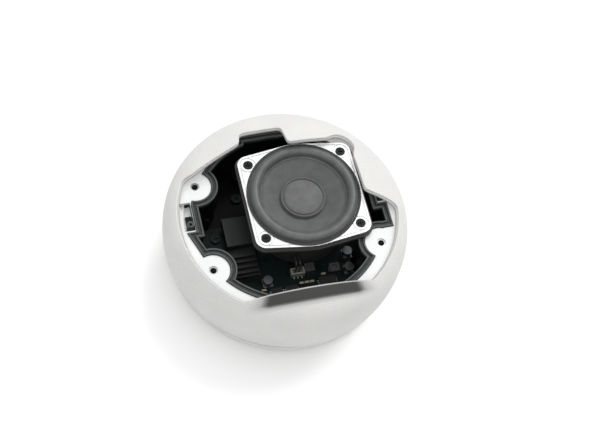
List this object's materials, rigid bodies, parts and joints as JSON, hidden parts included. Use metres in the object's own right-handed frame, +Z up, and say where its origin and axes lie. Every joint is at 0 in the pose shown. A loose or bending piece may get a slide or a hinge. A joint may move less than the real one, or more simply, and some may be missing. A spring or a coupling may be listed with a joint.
{
  "type": "smart speaker",
  "caption": "Round puck smart speaker in pale cloth, its dome cut away over an off-centre full-range driver, inner tub, deck and circuit board.",
  "frame": {"origin": "centre of the footprint, on the surface that the silicone pad stands on", "axes": "+Z up, +Y towards the sockets at the back, +X to the driver's side"},
  "size_m": [0.098, 0.098, 0.0403],
  "materials": {
    "cloth": "fine pale grey-white knit",
    "shell_white": "moulded, fine grain",
    "deck_white": "moulded, satin",
    "base_white": "moulded, fine grain",
    "tub_black": "moulded, semi-matt",
    "cup_grey": "moulded, fine grain",
    "silicone": "soft matt silicone",
    "gasket": "foam and rubber bead",
    "roll_rubber": "matt butyl",
    "boot_rubber": "moulded silicone",
    "cone_paper": "pressed, matt",
    "cap_plastic": "satin",
    "plate_silver": "pressed steel, bright silver paint",
    "steel": "machined",
    "screw_black": "black oxide",
    "screw_zinc": "zinc plated",
    "ferrite": "ground ferrite",
    "former_foil": "lacquered foil",
    "coil_wire": "enamelled wire, close wound",
    "spider_cloth": "resin-set cloth",
    "board": "glass epoxy with dark solder mask",
    "shield": "tinned",
    "pad_blue": "gap filler",
    "spreader": "black anodised",
    "chip_black": "moulded package",
    "can_alu": "drawn can",
    "ferrite_part": "moulded ferrite",
    "part_tan": "ceramic with tinned ends",
    "header_ivory": "moulded nylon",
    "wire_black": "insulated wire",
    "carrier_grey": "moulded",
    "slider_orange": "moulded"
  },
  "bodies": {
    "housing": {"foot_pad": "silicone", "base_plate": "base_white", "base_seal": "gasket", "base_screws": "screw_zinc", "mid_frame": "deck_white", "boss_inserts": "screw_zinc", "grille_shell": "shell_white", "fabric_cover": "cloth", "chassis_tub": "tub_black", "rim_gasket": "gasket", "tub_screws": "screw_black", "cup_screws": "screw_black", "driver_cup": "cup_grey", "driver_frame": "plate_silver", "frame_gasket": "gasket", "frame_screws": "screw_black", "surround": "roll_rubber", "spider": "spider_cloth", "top_plate": "steel", "magnet": "ferrite", "yoke": "steel", "main_pcb": "board", "pcb_screws": "screw_black", "soc_shield": "shield", "thermal_pad": "pad_blue", "heat_spreader": "spreader", "amp_chip": "chip_black", "memory_chips": "chip_black", "capacitors": "can_alu", "inductors": "ferrite_part", "chip_passives": "part_tan", "speaker_connector": "header_ivory", "speaker_wires": "wire_black", "mic_boards": "board", "mic_boots": "boot_rubber", "antenna_carrier": "carrier_grey", "antenna": "board", "port_panel": "base_white", "port_bezel": "base_white", "port_board": "board", "power_jack": "chip_black", "jack_pin": "steel", "mute_switch": "chip_black"},
    "diaphragm": {"cone": "cone_paper", "dust_cap": "cap_plastic", "voice_coil_former": "former_foil", "voice_coil": "coil_wire"},
    "mute_knob": {"mute_slider": "slider_orange"}
  },
  "joints": [
    {"name": "diaphragm_travel", "type": "slide", "parent": "housing", "child": "diaphragm", "axis": [0, 0, 1], "range_m": [-0.002, 0.002], "stiffness_N_per_m": 1200, "deforming": ["surround", "spider"]},
    {"name": "mute_slide", "type": "slide", "parent": "housing", "child": "mute_knob", "axis": [1, 0, 0], "range_m": [0, 0.002]}
  ]
}
